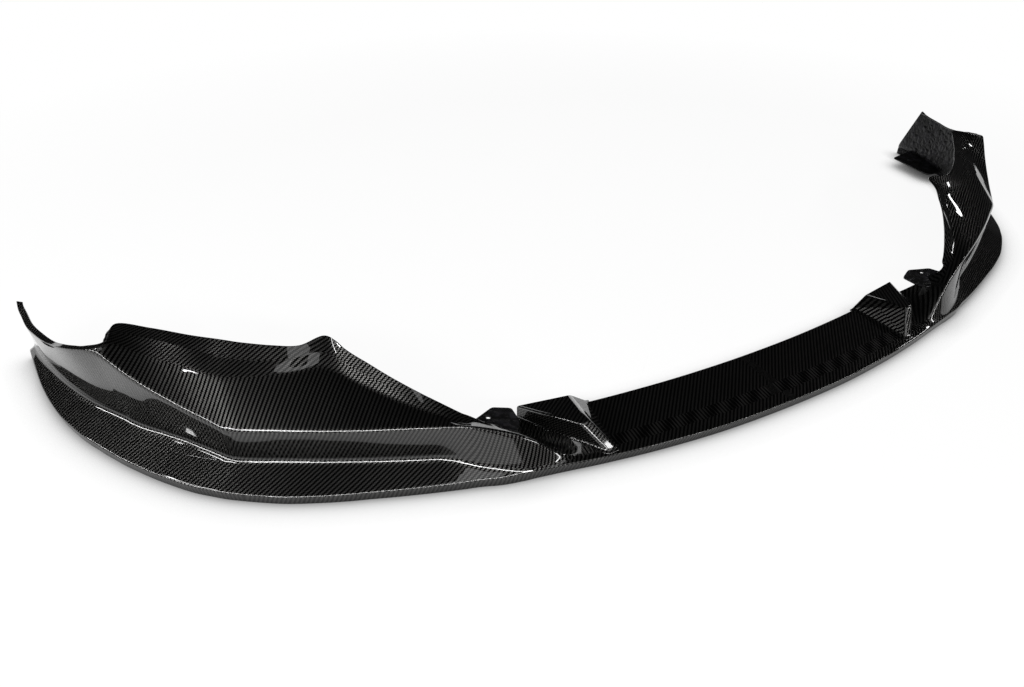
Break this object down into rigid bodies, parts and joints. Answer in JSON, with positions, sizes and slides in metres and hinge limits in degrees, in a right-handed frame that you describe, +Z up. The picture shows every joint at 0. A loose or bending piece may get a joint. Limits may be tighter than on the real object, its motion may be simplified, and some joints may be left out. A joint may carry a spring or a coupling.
{
  "type": "front splitter lip",
  "caption": "Front splitter lip: an arc-shaped carbon laminate blade with raised wings, free fins, wedges and mounting tabs.",
  "frame": {"origin": "centre of the bounding box at its bottom, on the rim of the leading edge", "axes": "+X across the car, -Y forward to the leading edge, +Z up"},
  "size_m": [1.8564, 0.6248, 0.156],
  "materials": {
    "carbon": "black twill carbon laminate under a glossy clear coat"
  },
  "bodies": {
    "root": {"splitter_lip": "carbon"}
  },
  "joints": []
}
